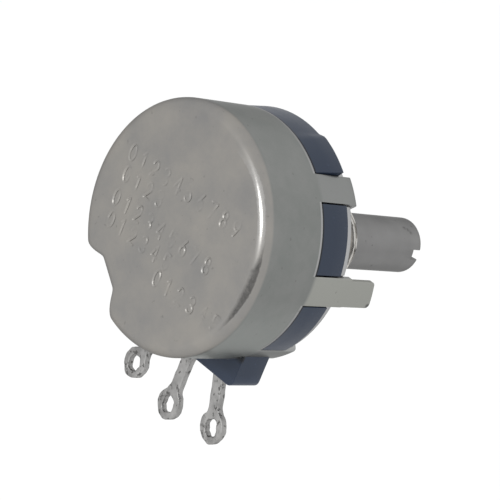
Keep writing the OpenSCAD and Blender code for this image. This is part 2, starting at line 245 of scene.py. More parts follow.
class Finish:
    """A material under construction."""

    def __init__(self, name):
        self.material = bpy.data.materials.new(name)
        self.material.use_nodes = True
        self.tree = self.material.node_tree
        self.tree.nodes.clear()
        self.place = self.node("ShaderNodeTexCoord", {}, {}, "Object")

    def node(self, kind, settings=None, values=None, out=0):
        """Adds a node, sets it up, fills or links its sockets and returns one of its outputs."""
        made = self.tree.nodes.new(kind)
        for key, value in (settings or {}).items():
            if key == "stops":
                self._set_stops(made, value)
            else:
                setattr(made, key, value)
        for key, value in (values or {}).items():
            if isinstance(value, Signal):
                self.tree.links.new(value.socket, made.inputs[key])
            else:
                made.inputs[key].default_value = value
        return Signal(self, made.outputs[out]) if len(made.outputs) else made

    @staticmethod
    def _set_stops(ramp, stops):
        elements = ramp.color_ramp.elements
        while len(elements) > 2:
            elements.remove(elements[-1])
        while len(elements) < len(stops):
            elements.new(0.5)
        for element, (position, level) in zip(elements, stops):
            element.position = position
            element.color = (level, level, level, 1.0)

    def noise(self, scale, detail=3.0, roughness=0.5, stretch=(1, 1, 1), offset=(0, 0, 0)):
        where = self.node("ShaderNodeMapping", {}, {
            "Vector": self.place, "Scale": stretch, "Location": offset})
        return self.node("ShaderNodeTexNoise", {}, {
            "Vector": where, "Scale": scale, "Detail": detail, "Roughness": roughness})

    def along(self, axis):
        """The place along X, Y or Z, in metres."""
        return self.node("ShaderNodeSeparateXYZ", {}, {"Vector": self.place}, axis)

    def off_axis(self):
        """Distance from the shaft's axis, in metres."""
        across, up = self.along("X"), self.along("Z")
        return (across * across + up * up) ** 0.5

    def heading(self):
        """Angle around the shaft's axis in degrees: 0 at the lug, rising towards the crown."""
        angle = self.node("ShaderNodeMath", {"operation": "ARCTAN2"},
                          {0: self.along("Z"), 1: 0.0 - self.along("X")})
        return angle * degrees(1)

    def step(self, signal, start, end):
        """0 up to start, 1 from end on, straight between; start may be above end."""
        return ((signal - start) * (1.0 / (end - start))).clamped()

    def band(self, signal, low, high, ragged, crisp=8000.0):
        """1 where a signal lies between low and high, with ragged edges."""
        rough_edge = signal + ragged
        enter = ((rough_edge - low) * crisp).clamped()
        leave = ((high - rough_edge) * OUTER_CRISP).clamped()
        return enter * leave

    def spot(self, place, radius):
        """1 at a place given in metres, 0 from radius on."""
        away = self.node("ShaderNodeVectorMath", {"operation": "DISTANCE"},
                         {0: self.place, 1: place}, "Value")
        return self.step(away, radius, radius * 0.4)

    def ramp(self, signal, *stops):
        """Maps a signal through (position, level) stops."""
        return self.node("ShaderNodeValToRGB", {"stops": stops}, {"Fac": signal})

    def blend(self, share, colour_a, colour_b):
        """From colour_a to colour_b as share goes from 0 to 1."""
        return self.node("ShaderNodeMix", {"data_type": "RGBA"},
                         {0: share, 6: colour_a, 7: colour_b}, 2)

    def bump(self, height, distance, strength):
        return self.node("ShaderNodeBump", {}, {
            "Height": height, "Distance": distance, "Strength": strength})

    def shade(self, **sockets):
        """Ends the material with a surface shader; names use _ for a space."""
        values = {key.replace("_", " "): value for key, value in sockets.items()}
        surface = self.node("ShaderNodeBsdfPrincipled", {}, values)
        self.node("ShaderNodeOutputMaterial", {}, {"Surface": surface})
        return self.material


def toned(colour, share):
    """A colour made lighter or darker by share."""
    return tuple(min(1.0, share * c) for c in colour[:3]) + (1.0,)


def grey(level, warmth=0.0):
    """A linear grey, warm when warmth is above 0 and cool when it is below."""
    return (level * (1 + warmth), level, level * (1 - 1.6 * warmth), 1.0)


# ---------------------------------------------------------------- finishes

EDGE_TINT = (0.45, 0.45, 0.45, 1.0)     # keeps dull metal from whitening at a glancing view
WALL_START = (-BACK - 1.15) * MM        # the corner ends and the drawn wall begins
RIM_AT = -RIM * MM
OUTER_CRISP = 14000.0                   # how sharply a painted corner band ends at its outer edge
TURNED_PITCH = 0.00011                  # between the fine rings of turned metal
LUG_FACE = -0.0127                      # the lug's outside begins here, along X
BLOCK_TOP = -0.0125                     # the terminal block, painted lighter, begins here, along Z
RIM_SHADOW_END = -0.0108                      # the painted shadow by the rim stops above the terminal block
LUG_NICK = (-0.01343, -0.00344, -0.00134)
SHAFT_NICKS = [(-0.00169, -0.02011, 0.00269), (-0.00149, -0.01954, 0.00280),
               (-0.00199, -0.02046, 0.00248)]


def cover_tones(f, colour, tone, level, dull):
    """Cover tones: painted shade on the wall, paler strips past the rim, a painted rim highlight.

    dull is the level of the wall, painted darker as shade. Painted light makes the wall palest
    below and a little pale on top.
    """
    height_along = f.along("Y")
    patches = f.ramp(f.noise(330, 4.0, 0.7, offset=(0.6, 0.3, 0.2)), (0.38, 0.0), (0.62, 1.0))
    patches = patches * 0.5 + tone * 0.5
    # painted shade: the wall gets a darker tone than the back, with patches and a faint green tint
    drawn = f.blend(patches, (dull * 0.90, dull * 0.95, dull * 0.91, 1.0),
                    (dull * 1.08, dull * 1.10, dull * 1.07, 1.0))
    colour = f.blend(f.step(height_along, WALL_START + 0.0001, WALL_START - 0.0002), colour, drawn)
    heading = f.heading()
    turned_off = heading.absolute()
    # painted light: the wall is made paler on its lower side and a little paler on top
    low_side = f.step(heading, -5.0, -50.0) * f.step(heading, -170.0, -110.0)
    top_side = f.step(heading, 35.0, 75.0) * f.step(heading, 175.0, 110.0)
    pale = low_side * 0.8 + top_side * 0.17
    pale = pale * f.step(height_along, WALL_START, WALL_START - 0.0004)
    colour = f.blend(pale, colour, (dull * 1.9, dull * 1.98, dull * 1.92, 1.0))
    strips = f.step(height_along, RIM_AT + 0.0001, RIM_AT - 0.0004)
    tab_level = level * 0.96
    colour = f.blend(strips * 0.8, colour, (tab_level * 0.98, tab_level, tab_level * 0.985, 1.0))
    lug = strips * f.step(f.along("X"), LUG_FACE, LUG_FACE - 0.0002)
    lug_level = level * 1.27
    colour = f.blend(lug * 0.8, colour, (lug_level, lug_level * 1.01, lug_level * 0.93, 1.0))
    off_strips = f.step(turned_off, 7.0, 7.3)
    for middle in TAB_ANGLES[:2]:
        off_strips = off_strips * f.step((turned_off - (180 - middle)).absolute(), 6.4, 6.7)
    # painted highlight: a bright line along the rim's edge, left off the strips
    rim_highlight = f.step(height_along, RIM_AT + 0.0003, RIM_AT + 0.0002) * off_strips
    colour = f.blend(rim_highlight * 0.8, colour, grey(level * 1.5, 0.0))
    colour = f.blend(f.spot(LUG_NICK, 0.00035) * 0.75, colour, grey(level * 0.25, 0.0))
    return colour


def painted_corner_reflections(f, colour, roughness, height, level):
    """Corner band: a painted highlight above the lug and a painted dark reflection below it."""
    height_along, heading = f.along("Y"), f.heading()
    out = f.off_axis()
    patchy_noise = f.noise(2600, 3.0, 0.7, offset=(0.2, 0.5, 0.3)) - 0.5
    on_back = f.step(height_along, WALL_START, WALL_START + 0.0002)
    # painted highlight: the bright band, which is also made smoother
    bright_in = 0.0124 - f.step(heading, 48.0, 65.0) * 0.00055
    bright_out = 0.0132 - f.step(heading, 45.0, 72.0) * 0.00055
    bright = f.band(out, bright_in, bright_out, patchy_noise * 0.0003) * on_back
    bright = bright * f.step(heading, 13.0, 26.0) * f.step(heading, 68.0, 44.0)
    # painted reflection: a dark streak on the corner below the lug
    sweep = f.step(heading, -30.0, 25.0)
    dark_in = 0.0120 + 0.0012 * f.ramp(sweep, (0.0, 0.58), (0.2, 0.40), (0.327, 0.30),
                                       (0.436, 0.25), (0.673, 0.35), (0.8, 0.75), (0.95, 1.0))
    dark_out = 0.01325 - f.step(heading, -2.0, -25.0) * 0.00034
    dark = f.band(out, dark_in, dark_out, patchy_noise * 0.0002, 2400.0) * on_back
    dark = dark * f.step(heading, 27.0, 17.0) * f.step(heading, -31.0, -16.0)
    colour = f.blend((bright * (0.9 + patchy_noise * 1.2)).clamped(), colour, grey(level * 1.5, 0.02))
    colour = f.blend((dark * (0.9 + patchy_noise * 0.9)).clamped(), colour, grey(level * 0.36, 0.02))
    return colour, roughness - bright * 0.12, height + bright * patchy_noise * 0.8


def plated_sheet(name, level, warmth, rough, wall_share=None, edge_highlight_from=None):
    """Satin plated sheet steel: cloudy tone, fine pits and rubbed lines.

    wall_share is for the cover: the tone of its wall, painted darker as shade, next to that of its
    back.
    edge_highlight_from is where a round plate's painted edge highlight begins, from the axis in
    millimetres.
    """
    f = Finish(name)
    clouds = f.noise(210, 5.0, 0.65)
    blotches = f.noise(75, 3.0, 0.55, offset=(0.3, 0.1, 0.7))
    grain = f.noise(4200, 2.0, 0.6)
    specks = f.ramp(f.noise(1500, 2.0, 0.5, offset=(0.9, 0.2, 0.4)), (0.70, 0.0), (0.76, 1.0))
    lines = f.noise(500, 3.0, 0.7, stretch=(1, 14, 1))
    tone = f.ramp(clouds * 0.6 + blotches * 0.4, (0.36, 0.0), (0.64, 1.0))
    colour = f.blend(tone, grey(level * 0.89, warmth * 0.4), grey(level * 1.10, warmth * 1.8))
    if wall_share:
        colour = cover_tones(f, colour, tone, level, level * wall_share)
    if edge_highlight_from:
        # painted highlight: the plate's outer edge is made bright
        bright = f.step(f.off_axis(), edge_highlight_from * MM, (edge_highlight_from + 0.1) * MM)
        colour = f.blend(bright * 0.8, colour, grey(level * 1.8, -0.004))
    colour = f.blend(specks * 0.35, colour, grey(level * 0.45, warmth))
    roughness = rough + (clouds - 0.5) * 0.16 + (grain - 0.5) * 0.08
    height = grain * 0.35 + lines * 0.2 - specks * 0.6
    if wall_share:
        colour, roughness, height = painted_corner_reflections(f, colour, roughness, height, level)
    return f.shade(Base_Color=colour, Metallic=1.0, Roughness=roughness.clamped(),
                   Specular_Tint=EDGE_TINT, Normal=f.bump(height, 0.000012, 0.5))


def turned_metal(name, level, warmth, rough, dents=()):
    """Turned metal: fine rings around the axis with small nicks, and dark dents at given places."""
    f = Finish(name)
    rings = f.noise(1.0 / TURNED_PITCH, 2.0, 0.6, stretch=(0.02, 1, 0.02))
    clouds = f.noise(260, 3.0, 0.5)
    nicks = f.ramp(f.noise(1300, 2.0, 0.5, offset=(0.5, 0.8, 0.1)), (0.71, 0.0), (0.76, 1.0))
    bands = f.noise(420, 2.0, 0.5, stretch=(1, 0.1, 1))
    cloudy = f.ramp(clouds * 0.5 + bands * 0.5, (0.36, 0.0), (0.64, 1.0))
    colour = f.blend(cloudy, grey(level * 0.9, warmth), grey(level * 1.1, warmth))
    colour = f.blend(nicks * 0.5, colour, grey(level * 0.35, warmth))
    for place in dents:
        mark = f.spot(place, 0.00032) * 0.6 * f.ramp(f.noise(2400), (0.4, 0.3), (0.6, 1.0))
        colour = f.blend(mark, colour, grey(level * 0.3, warmth))
    roughness = rough + (rings - 0.5) * 0.14 + (clouds - 0.5) * 0.1
    height = rings * 0.5 - nicks * 0.8
    return f.shade(Base_Color=colour, Metallic=1.0, Roughness=roughness.clamped(),
                   Specular_Tint=EDGE_TINT, Normal=f.bump(height, 0.000008, 0.5))


def tinned(name, level):
    """Dull, uneven tin over brass, with dark pits."""
    f = Finish(name)
    lumps = f.noise(900, 3.0, 0.6)
    clouds = f.ramp(f.noise(650, 3.0, 0.6, offset=(0.2, 0.6, 0.9)), (0.35, 0.0), (0.65, 1.0))
    pits = f.ramp(f.noise(1700, 2.0, 0.6, offset=(0.7, 0.1, 0.3)), (0.58, 0.0), (0.68, 1.0))
    colour = f.blend(clouds, grey(level * 0.76, 0.01), grey(level * 1.25, 0.01))
    colour = f.blend(pits * 0.75, colour, grey(level * 0.25, 0.02))
    roughness = 0.42 + (clouds - 0.5) * 0.3 + pits * 0.2
    return f.shade(Base_Color=colour, Metallic=1.0, Roughness=roughness.clamped(),
                   Specular_Tint=EDGE_TINT, Normal=f.bump(lumps - pits * 0.7, 0.00009, 0.8))


def moulding(name, colour_dark, colour_light, rough):
    """Filled moulding: fine grain, faint flow marks, a painted shadow next to the cover's rim."""
    f = Finish(name)
    grain = f.noise(3000, 3.0, 0.6)
    flow = f.noise(220, 4.0, 0.6, stretch=(1, 2.5, 1))
    dust = f.ramp(f.noise(2300, 2.0, 0.5, offset=(0.4, 0.4, 0.8)), (0.68, 0.0), (0.76, 1.0))
    colour = f.blend(flow, colour_dark, colour_light)
    colour = f.blend(dust * 0.25, colour, toned(colour_light, 2.2))
    # painted light: the terminal block is made lighter to offset the shade on it
    block = f.step(f.along("Z"), BLOCK_TOP, BLOCK_TOP - 0.0007)
    colour = f.blend(block * 0.25, colour, toned(colour_light, 1.6))
    # painted shadow: a near-black line on the base right next to the cover's rim
    rim_shadow = f.step(f.along("Y"), RIM_AT - 0.00032, RIM_AT - 0.00022)
    rim_shadow = rim_shadow * f.step(f.along("Z"), RIM_SHADOW_END - 0.0005, RIM_SHADOW_END)
    colour = f.blend(rim_shadow * 0.85, colour, (0.004, 0.005, 0.006, 1.0))
    roughness = rough + (flow - 0.5) * 0.16 + (grain - 0.5) * 0.1
    return f.shade(Base_Color=colour, Roughness=roughness.clamped(), Specular_IOR_Level=0.25,
                   Normal=f.bump(grain, 0.00001, 0.5))


def plain_metal(name, colour, rough):
    """Small hidden metal pieces: even colour with a little tarnish."""
    f = Finish(name)
    tarnish = f.noise(500, 3.0, 0.6)
    mixed = f.blend(f.ramp(tarnish, (0.45, 0.0), (0.7, 1.0)), colour, toned(colour, 0.6))
    return f.shade(Base_Color=mixed, Metallic=1.0,
                   Roughness=(rough + (tarnish - 0.5) * 0.2).clamped(),
                   Normal=f.bump(f.noise(2600), 0.000008, 0.4))


def pressed_carbon(name):
    """Black carbon with a faint rubbed shine."""
    f = Finish(name)
    grain = f.noise(5000, 3.0, 0.6)
    patchy_noise = f.noise(300, 3.0, 0.5)
    colour = f.blend(patchy_noise, (0.012, 0.012, 0.013, 1.0), (0.035, 0.035, 0.037, 1.0))
    return f.shade(Base_Color=colour, Roughness=(0.45 + (patchy_noise - 0.5) * 0.3).clamped(),
                   Normal=f.bump(grain, 0.000015, 0.5))


def fibre_sheet(name):
    """Brown pressed fibre with a felted grain."""
    f = Finish(name)
    threads = f.noise(1400, 4.0, 0.7, stretch=(1, 1, 3))
    colour = f.blend(threads, (0.20, 0.13, 0.07, 1.0), (0.38, 0.27, 0.16, 1.0))
    return f.shade(Base_Color=colour, Roughness=(0.75 + (threads - 0.5) * 0.2).clamped(),
                   Normal=f.bump(threads, 0.00002, 0.5))


# ---------------------------------------------------------------- cover

CORNER = 1.2                       # radius between the back and the wall
INDENT_PHI = 36.1 - 90             # middle of the stop indent
INDENT_FLAT = 11.15
INDENT_HALF = 2.15
INDENT_SPREAD = 16.9
INDENT_FRONT = -9.3
INDENT_SOFT = 0.5                  # rounding between the indent's floor and its sides
WALL_SOFT = 2.0                    # rounding between the indent's sides and the wall
INDENT_RAMP = 1.0
BEND = 0.55                        # outside radius of a folded tab's bend
STAMP_DEPTH = 0.1
STAMP_HALF = 0.12                  # half width of a stamped line


def soft_min(a, b, reach):
    """The smaller of two values, with the corner between them rounded over reach."""
    h = max(reach - abs(a - b), 0.0) / reach
    return min(a, b) - h * h * reach / 4


def indented_radius(phi, share=1.0):
    """Outside radius of the cover's wall at an angle; share is how much of the indent is there."""
    psi = abs(turn_from(phi, INDENT_PHI))
    if psi > 40:
        return COVER_R
    edge_x, edge_y = (COVER_R * sin(radians(INDENT_SPREAD)), COVER_R * cos(radians(INDENT_SPREAD)))
    slope = atan2(edge_y - INDENT_FLAT, edge_x - INDENT_HALF)
    flat = INDENT_FLAT / cos(radians(psi))
    reach = cos(slope) * cos(radians(psi)) - sin(slope) * sin(radians(psi))
    side = (INDENT_FLAT * cos(slope) - INDENT_HALF * sin(slope)) / reach if reach > 0.05 else 99.0
    inner = -soft_min(-flat, -side, INDENT_SOFT)
    dent = soft_min(COVER_R, inner, WALL_SOFT)
    return COVER_R + (dent - COVER_R) * share


def cover_columns():
    """Angles of the cover's mesh columns, with one on each edge of every tab and of the lug."""
    fixed = []
    for middle, width in STRIPS:
        half = degrees(asin(width / 2 / COVER_R))
        fixed += [middle - half, middle + half]
    fixed.sort()
    columns = []
    for a, b in zip(fixed, fixed[1:] + [fixed[0] + 360]):
        columns += spaced(a, b, 1.0)[:-1]
    return [c % 360 for c in columns]


DIGIT_STROKES = {
    "0": [("arc", 0.5, 0.5, 0.42, 0.5, 0, 360)],
    "1": [("line", 0.25, 0.8, 0.55, 1.0), ("line", 0.55, 1.0, 0.55, 0.0)],
    "2": [("arc", 0.5, 0.7, 0.38, 0.3, 170, -40), ("line", 0.79, 0.51, 0.1, 0.0),
          ("line", 0.1, 0.0, 0.9, 0.0)],
    "3": [("arc", 0.45, 0.76, 0.36, 0.24, 150, -90), ("arc", 0.45, 0.26, 0.4, 0.26, 90, -150)],
    "4": [("line", 0.7, 0.0, 0.7, 1.0), ("line", 0.7, 1.0, 0.08, 0.3),
          ("line", 0.08, 0.3, 0.95, 0.3)],
    "5": [("line", 0.85, 1.0, 0.25, 1.0), ("line", 0.25, 1.0, 0.18, 0.58),
          ("arc", 0.46, 0.32, 0.4, 0.32, 130, -150)],
    "6": [("arc", 0.5, 0.3, 0.38, 0.3, 0, 360), ("line", 0.14, 0.4, 0.7, 1.0)],
    "7": [("line", 0.1, 1.0, 0.9, 1.0), ("line", 0.9, 1.0, 0.35, 0.0)],
    "8": [("arc", 0.5, 0.76, 0.3, 0.24, 0, 360), ("arc", 0.5, 0.26, 0.38, 0.26, 0, 360)],
    "9": [("arc", 0.5, 0.7, 0.38, 0.3, 0, 360), ("line", 0.86, 0.6, 0.4, 0.0)],
}
# Rows of plain counting digits on the cover's back: first digit, how many, left end, height
STAMP_ROWS = [(0, 10, 9.5, 3.3), (0, 4, 9.2, 0.9), (0, 9, 9.4, -1.9), (0, 6, 9.0, -4.3),
              (0, 6, -0.4, -6.4)]
DIGIT_TALL = 1.75
DIGIT_WIDE = 1.05
DIGIT_STEP = 1.95


def stamp_lines():
    """Straight pieces of every stamped digit, as pairs of bench points seen from behind."""
    lines = []
    for first, count, left, foot in STAMP_ROWS:
        for k in range(count):
            start = left - k * DIGIT_STEP
            for kind, *v in DIGIT_STROKES[str((first + k) % 10)]:
                if kind == "line":
                    path = [(v[0], v[1]), (v[2], v[3])]
                else:
                    path = [(v[0] + v[2] * cos(radians(a)), v[1] + v[3] * sin(radians(a)))
                            for a in spaced(v[4], v[5], 24)]
                placed = [(start - x * DIGIT_WIDE, foot + y * DIGIT_TALL) for x, y in path]
                lines += list(zip(placed, placed[1:]))
    return lines


def distance_to(line, x, y):
    (ax, ay), (bx, by) = line
    dx, dy = bx - ax, by - ay
    t = ((x - ax) * dx + (y - ay) * dy) / max(dx * dx + dy * dy, 1e-12)
    t = min(1.0, max(0.0, t))
    return hypot(x - ax - t * dx, y - ay - t * dy)


class StampField:
    """Depth of the stamping at any place on the back, looked up by small squares."""

    CELL = 0.8

    def __init__(self, lines):
        self.squares = {}
        for line in lines:
            (ax, ay), (bx, by) = line
            for cx in range(floor((min(ax, bx) - 0.5) / self.CELL),
                            floor((max(ax, bx) + 0.5) / self.CELL) + 1):
                for cy in range(floor((min(ay, by) - 0.5) / self.CELL),
                                floor((max(ay, by) + 0.5) / self.CELL) + 1):
                    self.squares.setdefault((cx, cy), []).append(line)

    def distance(self, x, y):
        near = self.squares.get((floor(x / self.CELL), floor(y / self.CELL)), ())
        return min((distance_to(line, x, y) for line in near), default=9.0)

    def depth(self, x, y):
        """Pressed in along a stroke, with a low raised lip beside it."""
        d = self.distance(x, y) / STAMP_HALF
        if d > 3:
            return 0.0
        dip = max(0.0, 1 - d * d / 2.2)
        lip = 0.12 * max(0.0, 1 - abs(d - 1.9) / 0.9)
        worn = 0.62 + 1.3 * noise.noise(Vector((x * 0.9, y * 0.9, 4.2)))
        return STAMP_DEPTH * (dip * dip - lip) * min(1.15, max(0.1, worn))


def back_face(loop):
    """Triangles over the cover's back inside a loop, fine where the digits are stamped."""
    field = StampField(stamp_lines())
    coarse, fine = 0.6, 0.085
    inside = len(loop)
    points = list(loop)
    limit = [hypot(x, y) for x, y in loop]
    angles = [degrees(atan2(y, x)) % 360 for x, y in loop]
    reach = [min(far for far, angle in zip(limit, angles) if abs(turn_from(angle, degree)) < 2.5)
             for degree in range(361)]
    steps = int(COVER_R / fine)
    skip = int(coarse / fine)
    for i in range(-steps, steps + 1):
        x = i * fine
        for j in range(-steps, steps + 1):
            y = j * fine
            d = field.distance(x, y)
            wanted = d < 3.2 * STAMP_HALF or (i % skip == 0 and j % skip == 0)
            r = hypot(x, y)
            if wanted and (r <= 0.1 or r <= reach[int(degrees(atan2(y, x)) % 360)] - 0.25):
                points.append((x, y))
    edges = [(i, (i + 1) % inside) for i in range(inside)]
    flat, _, faces, _, _, _ = delaunay_2d_cdt([Vector(p) for p in points], edges, [], 1, 0.00001)
    return [(p.x, p.y, BACK + field.depth(p.x, p.y)) for p in flat], [tuple(f) for f in faces]


def tab_place(middle, phi, out, height):
    """A point of a tab: sideways place kept from its column, out and height given."""
    side = COVER_R * sin(radians(phi - middle))
    c, s = cos(radians(middle)), sin(radians(middle))
    return (out * c - side * s, out * s + side * c, height)


def make_cover(material):
    columns = cover_columns()
    count = len(columns)

    # Outer skin from the edge of the flat back, round the corner and down the wall
    wall = spaced(BACK + CORNER, RIM, 0.5)

    def dent_share(z):
        """How much of the indent is there at a height."""
        return eased(z, INDENT_FRONT + INDENT_RAMP, INDENT_FRONT)

    def skin(depth):
        """Rings of one side of the sheet; depth is 0 outside and the sheet's thickness inside."""
        corner = CORNER - depth
        rings = []
        for a in spaced(0, 90, 90 / 8):
            rings.append([(indented_radius(p) - depth - corner * (1 - sin(radians(a))),
                           BACK + depth + corner * (1 - cos(radians(a)))) for p in columns])
        for z in wall[1:]:
            rings.append([(indented_radius(p, dent_share(z)) - depth, z) for p in columns])
        return [[(*on_circle(r, p), z) for (r, z), p in zip(ring, columns)] for ring in rings]

    points, faces = [], []

    def add(ring):
        start = len(points)
        points.extend(ring)
        return start

    outer = [add(ring) for ring in skin(0.0)]
    inner = [add(ring) for ring in skin(SHEET)]
    for rings in (outer, inner):
        for a, b in zip(rings, rings[1:]):
            faces += [(a + i, a + (i + 1) % count, b + (i + 1) % count, b + i)
                      for i in range(count)]

    # Flat back, stamped outside and plain inside
    for first, stamped in ((outer[0], True), (inner[0], False)):
        loop = [points[first + i][:2] for i in range(count)]
        if stamped:
            flat, cells = back_face(loop)
        else:
            flat, cells = [(x, y, BACK + SHEET) for x, y in loop], [tuple(range(count))]
        shift = add(flat)
        faces += [tuple(shift + v for v in cell) for cell in cells]

    # Tabs and lug grow out of the rim; between them the rim is closed
    used = set()
    for middle, width in STRIPS:
        half = degrees(asin(width / 2 / COVER_R)) + 0.01
        strip = sorted((i for i in range(count) if abs(turn_from(columns[i], middle)) < half),
                       key=lambda i: turn_from(columns[i], middle))
        used.update(zip(strip, strip[1:]))
        layers = [[outer[-1] + i for i in strip]]
        inside = [[inner[-1] + i for i in strip]]
        sides = [turn_from(columns[i], middle) for i in strip]
        for pair in lug_rows(sides) if middle == LUG_ANGLE else tab_rows(middle, sides):
            for rows, ring in zip((layers, inside), pair):
                start = add(ring)
                rows.append(list(range(start, start + len(strip))))
        for rows in (layers, inside):
            for a, b in zip(rows, rows[1:]):
                faces += [(a[k], a[k + 1], b[k + 1], b[k]) for k in range(len(strip) - 1)]
        for k in (0, len(strip) - 1):
            faces += [(a[k], b[k], d[k], c[k]) for a, b, c, d in
                      zip(layers, layers[1:], inside, inside[1:])]
        last, under = layers[-1], inside[-1]
        faces += [(last[k], last[k + 1], under[k + 1], under[k]) for k in range(len(strip) - 1)]
    for i in range(count):
        j = (i + 1) % count
        if (i, j) not in used:
            faces.append((outer[-1] + i, outer[-1] + j, inner[-1] + j, inner[-1] + i))
    piece = make_piece("cover", points, faces, 40)
    add_edge_round(piece, 0.07)
    return finish_piece(piece, "cover", "housing", material)


def tab_rows(middle, sides):
    """Rows of points across a folded tab, outer and inner skin, from the rim to its end."""
    rows = []
    for (out, z), (in_out, in_z) in tab_path():
        top, under = [], []
        for rel in sides:
            sag = COVER_R - COVER_R * cos(radians(rel))
            top.append(tab_place(middle, middle + rel, out - sag, z))
            under.append(tab_place(middle, middle + rel, in_out - sag, in_z))
        rows.append((top, under))
    return rows


def lug_rows(sides):
    """Rows of points across the lug, outer and inner skin, from the rim to its end."""
    rows = []
    limit = max(sides)
    for low, high, half, shift in lug_path():
        top, under = [], []
        for rel in sides:
            share = rel / limit                     # 1 towards the terminals
            side = shift + half * share
            z = high + (low - high) * (share + 1) / 2
            sag = COVER_R - sqrt(COVER_R ** 2 - side ** 2)
            top.append((-(COVER_R - sag), -side, z))
            under.append((-(COVER_R - SHEET - sag), -side, z))
        rows.append((top, under))
    return rows


def tab_path():
    """Side section of a folded tab past the rim, as pairs of an outer and an inner point."""
    top = TAB_TOP
    path = []
    for z in spaced(RIM, top - BEND, 0.7)[1:]:
        path.append(((COVER_R, z), (COVER_R - SHEET, z)))
    for a in spaced(0, 90, 18)[1:]:
        c, s = cos(radians(a)), sin(radians(a))
        path.append(((COVER_R - BEND + BEND * c, top - BEND + BEND * s),
                     (COVER_R - BEND + (BEND - SHEET) * c, top - BEND + (BEND - SHEET) * s)))
    for out in spaced(COVER_R - BEND, COVER_R - TAB_FOLD, 0.8)[1:]:
        path.append(((out, top), (out, top - SHEET)))
    return path


def lug_path():
    """Steps along the straight lug: height at its low side, at its high side, half width, shift."""
    step = TAB_TOP
    corner = 0.45
    half, end_half = LUG_W / 2, LUG_END_W / 2
    steps = [(z, z, half, 0.0) for z in spaced(RIM, step - 0.1, 0.8)[1:]]
    for t in spaced(0, 1, 0.2):
        ease = eased(t, 0, 1)
        z = step - 0.1 + 0.4 * t + 0.001
        steps.append((z, z, half + (end_half - half) * ease, LUG_SHIFT * ease))
    reach = LUG_END - corner
    for t in spaced(0, 1, 0.12)[1:]:
        low = step + 0.3 + (reach - step - 0.3) * t
        high = step + 0.3 + (reach - LUG_SLANT - step - 0.3) * t
        steps.append((low, high, end_half, LUG_SHIFT))
    for a in spaced(0, 90, 18)[1:]:
        rise = corner * sin(radians(a))
        steps.append((reach + rise, reach - LUG_SLANT + rise,
                      end_half - corner * (1 - cos(radians(a))), LUG_SHIFT))
    return steps


def add_edge_round(piece, width):
    """Rounds the crisp edges of a piece a little, for good."""
    rounding = piece.modifiers.new("edge_round", "BEVEL")
    rounding.width = width * MM
    rounding.segments = 2
    rounding.limit_method = "ANGLE"
    rounding.angle_limit = radians(50)
    rounding.harden_normals = False
    bake_modifiers(piece)
    work = bmesh.new()
    work.from_mesh(piece.data)
    keep_crisp(work, 60)
    work.to_mesh(piece.data)
    work.free()


def bake_modifiers(piece):
    """Keeps the result of a piece's modifiers as its mesh."""
    view = bpy.context.evaluated_depsgraph_get()
    made = bpy.data.meshes.new_from_object(piece.evaluated_get(view))
    old = piece.data
    piece.modifiers.clear()
    piece.data = made
    bpy.data.meshes.remove(old)
    made.name = piece.name


# ---------------------------------------------------------------- base

CROWN_STEP = 0.25
SHOULDER_STEP = 0.6
CROWN_HALF = 13.0
SHOULDER_HALF = 37.0
SHOULDER_RAMP = 4.5
BLOCK_CORNER = 0.8
NOTCH_R = COVER_R - SHEET - SEAT_GAP / 2
BASE_EDGE = 0.15
RIM_CHAMFER = 0.06


def moulded_radius(phi, share=1.0):
    """Radius of the base's round outline: a low crown on top and a shoulder on the lug's side.

    share is how much of the crown and shoulder is there.
    """
    away = turn_from(phi, 90)
    if abs(away) > SHOULDER_HALF:
        return BASE_R
    climb = eased(away, CROWN_HALF, CROWN_HALF + SHOULDER_RAMP)
    return BASE_R + (CROWN_STEP + (SHOULDER_STEP - CROWN_STEP) * climb) * share


def notch_half(width):
    """Half the angle of the notch for a strip of the cover's wall."""
    return degrees(asin((width / 2 + SEAT_GAP) / NOTCH_R))


def in_notch(phi, slack=0.0):
    return any(abs(turn_from(phi, middle)) < notch_half(width) - slack for middle, width in STRIPS)


def notch_edges():
    return [middle + side * notch_half(width) for middle, width in STRIPS for side in (-1, 1)]


def base_outline(share=1.0):
    """Closed outline of the base, with its notches for the tabs and its terminal block."""
    fall = -sqrt(BASE_R ** 2 - BLOCK_HALF ** 2)
    left = degrees(atan2(fall, -BLOCK_HALF)) % 360
    start = degrees(atan2(fall, BLOCK_HALF)) % 360 - 360
    stops = [start] + [m for m in sorted(notch_edges()) if start < m < left] + [left]
    outline = []
    for a, b in zip(stops, stops[1:]):
        for phi in spaced(a + 0.02, b - 0.02, 1.5):
            r = NOTCH_R if in_notch((a + b) / 2, 1e-6) else moulded_radius(phi, share)
            outline.append(on_circle(r, phi))
    bottom = -BLOCK_REACH
    for sx in (-1, 1):
        corner = []
        for a in spaced(180, 270, 15) if sx < 0 else spaced(270, 360, 15):
            corner.append((sx * (BLOCK_HALF - BLOCK_CORNER) + BLOCK_CORNER * cos(radians(a)),
                           bottom + BLOCK_CORNER + BLOCK_CORNER * sin(radians(a))))
        if sx < 0:
            outline += [(-BLOCK_HALF, y) for y in spaced(outline[-1][1] - 0.4,
                                                         bottom + BLOCK_CORNER + 0.4, 0.6)]
            outline += corner
            outline += [(x, bottom) for x in spaced(-BLOCK_HALF + 1.2, BLOCK_HALF - 1.2, 0.8)]
        else:
            outline += corner
            outline += [(BLOCK_HALF, y) for y in spaced(bottom + BLOCK_CORNER + 0.4,
                                                        outline[0][1] - 0.4, 0.6)]
    return outline


